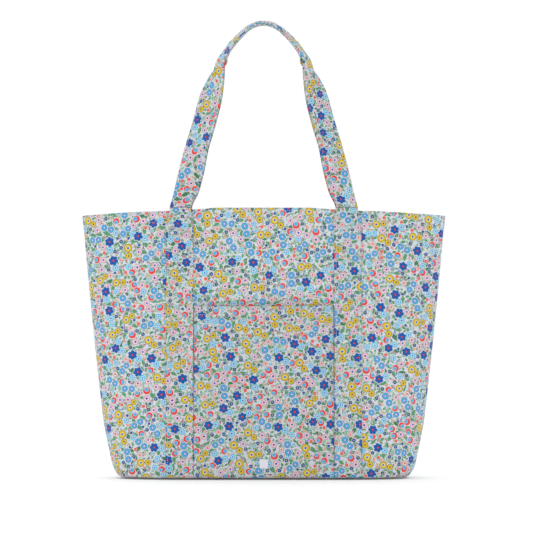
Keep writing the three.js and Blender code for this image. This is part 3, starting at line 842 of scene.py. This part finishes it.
def section(fold, inner_curl, outer_curl, columns=57):
    """The strap's face in its own section, from its inner edge to its outer one: how far across each point
    lies, and how far through. The outer half folds back by fold, and both edges curl back."""
    a = np.linspace(-STRAP_WIDTH / 2, STRAP_WIDTH / 2, columns)
    flat = STRAP_WIDTH / 2 - CURL_WIDTH
    heading = -fold * smooth(a, -2.2 * MM, 2.2 * MM)
    heading -= outer_curl * np.clip((a - flat) / CURL_WIDTH, 0, 1)
    heading += inner_curl * np.clip((-a - flat) / CURL_WIDTH, 0, 1)
    step = a[1] - a[0]
    middle = columns // 2
    across = np.cumsum(np.cos(heading)) * step
    through = np.cumsum(np.sin(heading)) * step
    across -= across[middle]
    through -= through[middle]
    relief = 0.3 * MM * (np.abs(a) / (STRAP_WIDTH / 2)) ** 14
    relief += 0.28 * MM * np.exp(-((np.abs(a) - EDGE_ROW) / (0.8 * MM)) ** 2)
    return across + relief * np.sin(heading), through - relief * np.cos(heading)


def curls(height):
    """Curl of the strap's inner and outer edge, by height above the mouth."""
    rise = smooth(height, CURL_START - TOP, 0)
    inner = INNER_CURL * rise * (1 - smooth(height, 2 * MM, 32 * MM))
    outer = OUTER_CURL * rise * (1 - smooth(height, 12 * MM, 95 * MM))
    return inner, outer


def strap_grid(side, hand):
    """The strap sewn flat on a wall, from the foot up to the mouth; hand is -1 for the left one."""
    heights = np.concatenate([np.linspace(STRAP_FOOT, CURL_START, 92), np.linspace(CURL_START, TOP, 12)[1:]])
    grid = []
    for z in heights:
        across, through = section(0, *curls(z - TOP))
        x = hand * (STRAP_CENTRE + across)
        if hand < 0:
            x, through = x[::-1], through[::-1]
        pucker = 0.12 * MM * math.sin(z / (1.3 * MM)) * np.linspace(-1, 1, len(x)) ** 6
        lift = -through.min() if z > CURL_START else 0
        grid.append(wall_points(side, x, z, LAYER + STRAP_THICK + through + lift + pucker))
    return np.array(grid)


CROWN_RADIUS = (STRAP_CENTRE - LOOP_LEG * math.sin(LOOP_LEAN)
                - SHOULDER_RADIUS * (math.cos(LOOP_LEAN) - math.cos(SHOULDER_END))) / math.cos(SHOULDER_END)
LOOP_CURVES = [(SHOULDER_RADIUS, SHOULDER_END - LOOP_LEAN), (CROWN_RADIUS, math.pi / 2 - SHOULDER_END)]
HALF_LOOP = LOOP_LEG + sum(radius * turned for radius, turned in LOOP_CURVES)


def loop_line(from_end):
    """The middle line of a handle: distance from the bag's middle, height above the mouth, heading."""
    on_leg = min(from_end, LOOP_LEG)
    x = STRAP_CENTRE - max(on_leg, 0) * math.sin(LOOP_LEAN)
    h = on_leg * math.cos(LOOP_LEAN)
    heading, start = LOOP_LEAN, LOOP_LEG
    for radius, whole in LOOP_CURVES:
        turned = min(max(0, from_end - start) / radius, whole)
        x += radius * (math.cos(heading + turned) - math.cos(heading))
        h += radius * (math.sin(heading + turned) - math.sin(heading))
        heading += turned
        start += radius * whole
    return x, h, heading


def loop_frame(side, distance):
    """A handle at a distance along its middle line: the place, the direction across the strap, the one
    out of its face, and the distance from the nearer end."""
    from_end = min(distance, 2 * HALF_LOOP - distance)
    mirror = -1 if distance <= HALF_LOOP else 1
    x, h, heading = loop_line(from_end)
    square = heading * smooth(from_end, 0, LOOP_EASE)
    twist = math.radians(sum(degrees * smooth(from_end, *run) for degrees, *run in TWISTS))
    turn = turn_of(side)
    lean = math.atan2(LOOP_REACH, loop_line(HALF_LOOP)[1])
    up = np.array([0, -turn * math.sin(lean), math.cos(lean)])
    inward = np.array([0, -turn * math.cos(lean), -math.sin(lean)])
    place = np.array([mirror * x, turn * HINGE_DEPTH, LOOP_FOOT]) + up * h
    out = np.array([mirror * math.cos(square), 0, 0]) + up * math.sin(square)
    wide = out * math.cos(twist) + inward * math.sin(twist)
    thick = out * math.sin(twist) - inward * math.cos(twist)
    return place, wide, thick, from_end


def loop_row(side, distance):
    """The strap's face across one place on the loop."""
    place, wide, thick, from_end = loop_frame(side, distance)
    fold = EARLY_FOLD * smooth(from_end, *EARLY_RUN) + (FOLDED - EARLY_FOLD) * smooth(from_end, *FOLD_RUN)
    across, through = section(fold, *curls(from_end))
    outer_half = len(across) // 2 + 1
    kept_width = 1 - GATHER * math.exp(-((from_end - GATHER_PLACE) / GATHER_LENGTH) ** 2)
    across[outer_half:] *= kept_width
    through[outer_half:] *= kept_width
    across = across + CREASE_SHIFT * smooth(from_end, *SHIFT_RUN)
    through = through - through.mean() * fold / FOLDED
    base = -through.min() * (1 - smooth(from_end, 0, 16 * MM)) + STRAP_THICK / 2
    sag = 0.5 * MM * math.sin(distance / (11 * MM)) * smooth(from_end, 0, 60 * MM)
    row = np.outer(across, wide) + np.outer(through + base + sag, thick)
    towards_middle = np.maximum(-row[:, 1] * turn_of(side), 0)
    kept = LOOP_INNER_REACH * np.tanh(towards_middle / LOOP_INNER_REACH)
    row[:, 1] += turn_of(side) * (towards_middle - kept)
    return place + row


def strap_uv(grid, across_shift, up):
    """Fabric coordinates of a strap's grid: across its width, and up as given for each row."""
    uv = np.empty(grid.shape[:2] + (2,))
    uv[:, :, 0] = np.linspace(-STRAP_WIDTH / 2, STRAP_WIDTH / 2, grid.shape[1]) + across_shift
    uv[:, :, 1] = up
    return uv


def loop_grid(side, steps=230):
    """A handle's face from one end to the other, and its fabric coordinates."""
    distances = np.linspace(TOP - LOOP_FOOT, 2 * HALF_LOOP - (TOP - LOOP_FOOT), steps)
    grid = np.array([loop_row(side, d) for d in distances])
    uv = strap_uv(grid, 0.0, distances[:, None] + TOP)
    return (grid[:, ::-1], uv[:, ::-1]) if side == FRONT else (grid, uv)


def edge_rows(grid):
    """The points and normals of the two rows of stitches along a strap, near its edges."""
    normals = normals_of(grid)
    shares = (0.5 - EDGE_ROW / STRAP_WIDTH, 0.5 + EDGE_ROW / STRAP_WIDTH)
    columns = [int(round(share * (grid.shape[1] - 1))) for share in shares]
    return [(grid[:, column], normals[:, column]) for column in columns]


def bar_tack(side, name, grid):
    """Three dense rows of stitches across the strap, below where it leaves the hem."""
    j = int(np.argmin(np.abs(grid[:, 4, 2] - (CURL_START - 3 * MM))))
    face, normals = grid[j, 4:-4], normals_of(grid)[j, 4:-4]
    lines = [(face - np.array([0, 0, drop * MM]), normals) for drop in (0.0, 0.9, 1.8)]
    made = stitches(f"{side}_bar_tack_stitches_{name}", lines, THREAD, 1.5 * MM, 0.3 * MM)
    on_wall(made, side, "thread", f"{side}_bar_tack_{name}")


def straps(side):
    """The two straps sewn on a wall, and their stitches."""
    lines = []
    for hand, name in ((-1, "left"), (1, "right")):
        grid = strap_grid(side, hand)
        up = lengths(grid, 0)[:, [grid.shape[1] // 2]] + 0.4 * hand
        uv = strap_uv(grid, 0.17 * hand, up)
        strap = sheet(f"{side}_sewn_strap_{name}", grid, STRAP_THICK, STRAP_CLOTH_PAINTED_SHADE, uv)
        on_wall(strap, side, "printed_strap", f"{side}_strap_{name}")
        lines += edge_rows(grid)
        bar_tack(side, name, grid)
    on_wall(stitches(f"{side}_strap_stitches", lines, THREAD), side, "thread")


def handle(side):
    """One loop of strap, whose shape bends where it leaves the mouth."""
    grid, uv = loop_grid(side)
    made = sheet(f"{side}_handle_loop", grid, STRAP_THICK, STRAP_CLOTH_PAINTED_SHADE, uv)
    low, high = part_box(f"{side}_strap_bend_left")
    start = (0, turn_of(side) * HINGE_DEPTH, low.z)
    end = (0, turn_of(side) * HINGE_DEPTH, high.z + 3 * MM)
    bend, body_name = f"{side}_strap_bend", f"{side}_handle"
    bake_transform(made)
    finish_piece([f"{side}_handle", f"{bend}_left", f"{bend}_right"])
    seam = stitches(f"{side}_handle_stitches", edge_rows(grid[BARE_ROWS:-BARE_ROWS]), THREAD)
    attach(seam, body_name)
    finish_piece([f"{side}_grip_stitching"])


for each_side in (FRONT, BACK):
    straps(each_side)
    handle(each_side)


# ---------------- pocket, label and hems
POCKET_ROWS = 56  # of its grid, below the hem
POCKET_STAND = LAYER + 0.8 * MM


def pocket():
    """The slip pocket, its turned hem and the two rows of stitches that hold the hem."""
    x = np.linspace(-POCKET_HALF, POCKET_HALF, 81)
    hem_foot = POCKET_TOP - POCKET_HEM
    heights = np.concatenate([np.linspace(STRAP_FOOT, hem_foot, POCKET_ROWS),
                              np.linspace(hem_foot, POCKET_TOP, 12)[1:]])
    grid = []
    for z in heights:
        groove = -0.35 * MM * math.exp(-((z - (hem_foot + 1 * MM)) / (1.2 * MM)) ** 2)
        roll = -0.4 * MM * float(smooth(z, POCKET_TOP - 1.2 * MM, POCKET_TOP))
        ripple = 0.5 * MM * np.sin(x * 95 + 1) * smooth(z, POCKET_TOP * 0.5, POCKET_TOP)
        droop = 1.0 * MM * (1 - (x / POCKET_HALF) ** 2) * smooth(z, POCKET_TOP * 0.85, POCKET_TOP)
        stand = POCKET_STAND + groove + roll + pocket_slack(x, z) + ripple
        grid.append(wall_points(FRONT, x, z - droop, stand))
    grid = np.array(grid)
    normals = normals_of(grid)
    on_wall(sheet("pocket_cloth", grid, 0.6 * MM, CLOTH_POCKET_PAINTED_SHADE), FRONT, "printed_cloth", "front_pocket")
    folded = grid[POCKET_ROWS:-1, 1:-1] - normals[POCKET_ROWS:-1, 1:-1] * 0.9 * MM
    inner = sheet("pocket_hem_fold", folded, 0.5 * MM, CLOTH_POCKET_PAINTED_SHADE)
    on_wall(inner, FRONT, "printed_cloth", "pocket_hem")
    rows = [(grid[j, 2:-2], normals[j, 2:-2]) for j in (POCKET_ROWS, len(grid) - 3)]
    on_wall(stitches("pocket_stitches", rows, THREAD), FRONT, "thread")


def tab_rows(node, steps, rounded):
    """Rows of a tab that fills a node's box: places across and up, and how near each is to its edge."""
    low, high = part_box(node)
    middle, rise = (low.z + high.z) / 2, (high.z - low.z) / 2
    t = np.linspace(-1, 1, steps)
    for v in t:
        yield t * high.x * rounded(v), middle + v * rise * rounded(t), np.maximum(np.abs(t), np.abs(v))


def label():
    """A small blank tab with rounded corners and soft edges, on the pocket's foot."""
    rounded = lambda place: 1 - 0.09 * np.clip((np.abs(place) - 0.78) / 0.22, 0, 1) ** 2
    grid = []
    for x, z, edge in tab_rows("label_tab", 25, rounded):
        stand = POCKET_STAND + LAYER + 0.7 * MM - 0.35 * MM * edge**16 + pocket_slack(x, z)
        grid.append(wall_points(FRONT, x, z, stand))
    made = sheet("blank_label", np.array(grid), 0.9 * MM, LABEL)
    on_wall(made, FRONT, "label", "label_tab")


def hems(side):
    """The turned hem inside the mouth, and the two rows of stitches that hold it."""
    panel = panel_grid(side)
    normals = normals_of(panel)
    middle = panel.shape[1] // 2
    first = int(np.argmax(panel[:, middle, 2] > TOP - HEM_HEIGHT))
    fold = panel[first:, 1:-1] - normals[first:, 1:-1] * (CLOTH + 0.25 * MM)
    fold[-1, :, 2] -= 0.3 * MM
    made = sheet(f"{side}_hem_fold", fold, 0.7 * MM, CLOTH_SMALL)
    hand = "left" if side == FRONT else "right"
    on_base(made, "printed_cloth", f"{side}_mouth_hem", f"{hand}_mouth_hem")
    rows = [(panel[j, 2:-2], normals[j, 2:-2]) for j in (first + 1, len(panel) - 2)]
    on_base(stitches(f"{side}_hem_stitches", rows, THREAD), "thread")


def strip(name, points, breadth, direction):
    """A flat strip of binding along points, standing out in one direction."""
    direction = np.asarray(direction, dtype=float)
    grid = np.array([points + direction * breadth * t for t in np.linspace(0, 1, 5)])
    return sheet(name, np.swapaxes(grid, 0, 1), 1.2 * MM, BINDING)


def seams():
    """The bound seam allowances inside: both sides, both ends of the bottom, and both bottom edges."""
    for hand, name in ((-1, "left"), (1, "right")):
        low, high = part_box(f"{name}_side_seam")
        z = np.linspace(low.z, high.z, 60)
        points = np.stack([hand * (half_width(z) - 3.4 * MM), 0.6 * MM * np.sin(z * 60), z], axis=1)
        side_binding = strip(f"{name}_side_binding", points, 8 * MM, (-hand, 0, 0))
        on_base(side_binding, "seam_binding", f"{name}_side_seam")
        low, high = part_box(f"{name}_end_seam")
        y = np.linspace(low.y, high.y, 24)
        x, z = np.full_like(y, (low.x + high.x) / 2), np.full_like(y, low.z + 0.6 * MM)
        points = np.stack([x, y, z], axis=1)
        end_binding = strip(f"{name}_end_binding", points, high.z - low.z, (hand * 0.25, 0, 0.97))
        on_base(end_binding, "seam_binding", f"{name}_end_seam")
    for side in (FRONT, BACK):
        low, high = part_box(f"{side}_foot_seam")
        x = np.linspace(-1, 1, 90) * (high.x - 2 * MM)
        grid = np.array([wall_points(side, x, z, -2.0 * MM) for z in np.linspace(low.z + 1 * MM, high.z, 5)])
        foot_binding = sheet(f"{side}_foot_binding", grid, 1.0 * MM, BINDING)
        on_wall(foot_binding, side, "seam_binding", f"{side}_foot_seam")


pocket()
label()
for each_side in (FRONT, BACK):
    hems(each_side)
seams()


# ---------------- stow pouch, zip and popper
POUCH_DEPTH = 6.6 * MM
COIL_PITCH = 1.25 * MM
COIL_REACH = 1.7 * MM  # of a tooth, above and below the middle of the coil


def stow_pouch():
    """A shallow pouch on the inside of the back wall; its top edge carries the zip."""
    low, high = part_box("stow_pouch")
    x = np.linspace(low.x, high.x, 61)
    grid = []
    for z in np.linspace(low.z, high.z - 0.3 * MM, 52):
        sides = 1 - (np.abs(x) / high.x) ** 14
        foot = smooth(z, low.z, low.z + 9 * MM)
        wrinkle = 0.5 * MM * np.sin(x * 80 + z * 30) * np.sin(z * 55)
        stand = (POUCH_DEPTH + wrinkle * sides * foot) * np.sqrt(sides * foot)
        y = wall_depth(x, z) + folds(1, -x, z) - CLOTH - 0.3 * MM - stand
        grid.append(np.stack([x, y, np.full_like(x, z)], axis=1))
    made = sheet("stow_pouch_cloth", np.array(grid), 0.6 * MM, CLOTH_SMALL)
    on_wall(made, BACK, "printed_cloth", "stow_pouch")


def zip_parts():
    """The tape between the pouch's top edge and the wall, and the coil's teeth along it."""
    low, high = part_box("zip_tape")
    x = np.linspace(low.x, high.x, 90)
    ripple = 0.15 * MM * np.sin(x * 120)
    grid = np.array([np.stack([x, lerp(low.y, high.y, t) + ripple, np.full_like(x, lerp(low.z, high.z, t))],
                              axis=1) for t in np.linspace(0, 1, 9)])
    on_wall(sheet("zip_tape_cloth", grid, 0.5 * MM, ZIP_TAPE), BACK, "zip_tape", "zip_tape")
    low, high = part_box("zip_teeth")
    y, z = (low.y + high.y) / 2 - 0.4 * MM, (low.z + high.z) / 2
    rows = []
    for k in range(int((high.x - low.x) / COIL_PITCH)):
        x = low.x + (k + 0.5) * COIL_PITCH
        rows.append(([[x, y, z - COIL_REACH], [x, y, z + COIL_REACH]], [[0, -1, 0.3], [0, -1, 0.3]]))
    coil = stitches("zip_coil_teeth", rows, ZIP_COIL, 3.2 * MM, 0.42 * MM)
    on_wall(coil, BACK, "zip_teeth", "zip_teeth")


def popper_patches():
    """The tape squares that carry the popper, with soft corners and edges."""
    rounded = lambda place: 1 - 0.08 * np.abs(place) ** 8
    for side in (FRONT, BACK):
        node, turn = f"popper_patch_{side}", turn_of(side)
        low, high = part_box(node)
        face = low.y if side == BACK else high.y
        rows = [np.stack([-turn * x, face + turn * 0.25 * MM * edge**8, z], axis=1)
                for x, z, edge in tab_rows(node, 21, rounded)]
        patch = sheet(f"popper_patch_cloth_{side}", np.array(rows)[:, ::-1], 0.5 * MM, BINDING)
        on_wall(patch, side, "seam_binding", node)


def metal_parts():
    """The popper, the zip's slider and its pull keep their shape, with softened edges."""
    for node in ("popper_socket", "popper_stud", "zip_pull", "zip_slider"):
        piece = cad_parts[node]
        piece.data.materials.clear()
        piece.data.materials.append(METAL)
        bevel = piece.modifiers.new("soft_edges", "BEVEL")
        bevel.width = 0.25 * MM
        bevel.segments = 2
        bevel.limit_method = "ANGLE"


stow_pouch()
zip_parts()
popper_patches()
metal_parts()


# ---------------- camera, light and floor
def camera():
    """Level with the bag's middle, in front of it."""
    data = bpy.data.cameras.new("camera")
    data.lens = 241
    data.sensor_width = 36
    data.clip_end = 50
    made = link("camera", data)
    made.location = (3.8 * MM, -5.0, 0.296)
    made.rotation_euler = (math.pi / 2, 0, 0)
    SCENE.camera = made


def area_light(name, place, target, size, power):
    data = bpy.data.lights.new(name, "AREA")
    data.shape = "SQUARE"
    data.size = size
    data.energy = power
    made = link(name, data)
    made.location = place
    aim = np.array(target) - np.array(place)
    made.rotation_euler = (math.atan2(math.hypot(aim[0], aim[1]), -aim[2]), 0, math.atan2(-aim[0], aim[1]))


def studio():
    """A white world, two soft lights and a plain pale floor."""
    world = bpy.data.worlds.new("studio")
    world.use_nodes = True
    background = world.node_tree.nodes["Background"].inputs
    background["Color"].default_value = (1, 1, 1, 1)
    background["Strength"].default_value = 1.0
    SCENE.world = world
    SCENE.view_settings.view_transform = "Standard"
    area_light("overhead", (-0.3, 0.2, 2.4), (0, 0, 0.1), 1.6, 8)
    area_light("key", (-1.8, -2.4, 1.6), (0, 0, 0.3), 1.0, 6)
    reach = 9.0
    corners = [(-reach, -reach, 0), (reach, -reach, 0), (reach, reach, 0), (-reach, reach, 0)]
    mesh = bpy.data.meshes.new("floor")
    mesh.from_pydata(corners, [], [(0, 1, 2, 3)])
    look, _, _ = new_material("floor", 0.9, Base_Color=(0.93, 0.93, 0.93, 1), Specular_IOR_Level=0.1,
                              Emission_Color=(1, 1, 1, 1), Emission_Strength=0.08)
    mesh.materials.append(look)
    floor = link("floor", mesh)


camera()
studio()
